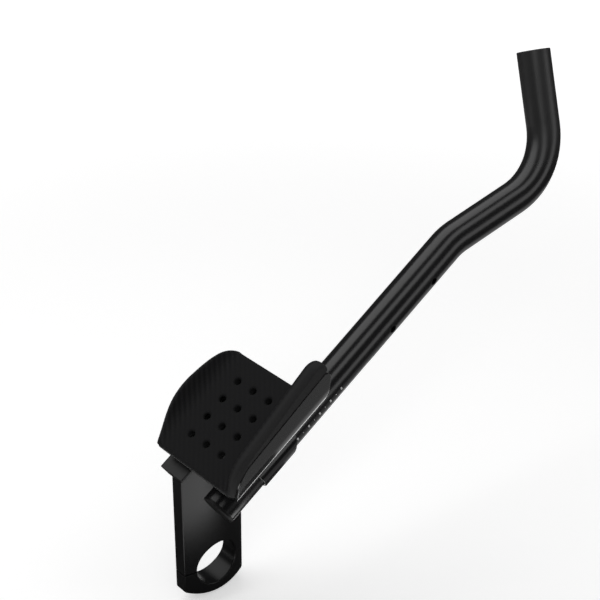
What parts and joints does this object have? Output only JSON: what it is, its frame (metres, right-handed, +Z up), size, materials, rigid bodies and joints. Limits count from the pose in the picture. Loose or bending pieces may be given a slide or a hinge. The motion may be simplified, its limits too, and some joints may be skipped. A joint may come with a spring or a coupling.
{
  "type": "aero handlebar extension",
  "caption": "Clip-on aero bar unit: a handlebar clamp with a tall riser carries a winged forearm pad over an S-bent black extension tube with an open upturned tip.",
  "frame": {"origin": "centre of the handlebar bore, midway through the riser plate", "axes": "+X forward, +Y along the handlebar bore to the rider's left, which is the inner side, +Z up along the riser"},
  "size_m": [0.3143, 0.0958, 0.3158],
  "materials": {
    "anodised_black": "satin black anodised",
    "tube_black": "polished black anodised",
    "plug": "matte black",
    "shell": "satin black",
    "pad": "matte black knit on foam",
    "strip": "black hook and loop",
    "screw_black": "black oxide",
    "washer_steel": "black oxide"
  },
  "bodies": {
    "root": {"riser_bracket": "anodised_black", "bar_clamp_cap": "anodised_black", "extension_clamp": "anodised_black", "extension_tube": "tube_black", "tube_end_plug": "plug", "armrest_shell": "shell", "armrest_pad": "pad", "pad_strip_front": "strip", "pad_strip_rear": "strip", "bar_clamp_screw_rear": "screw_black", "bar_clamp_screw_front": "screw_black", "tube_clamp_screw_rear": "screw_black", "tube_clamp_screw_front": "screw_black", "armrest_screw_rear": "screw_black", "armrest_screw_front": "screw_black", "tube_clamp_washer_rear": "washer_steel", "tube_clamp_washer_front": "washer_steel", "armrest_washer_rear": "washer_steel", "armrest_washer_front": "washer_steel"}
  },
  "joints": []
}
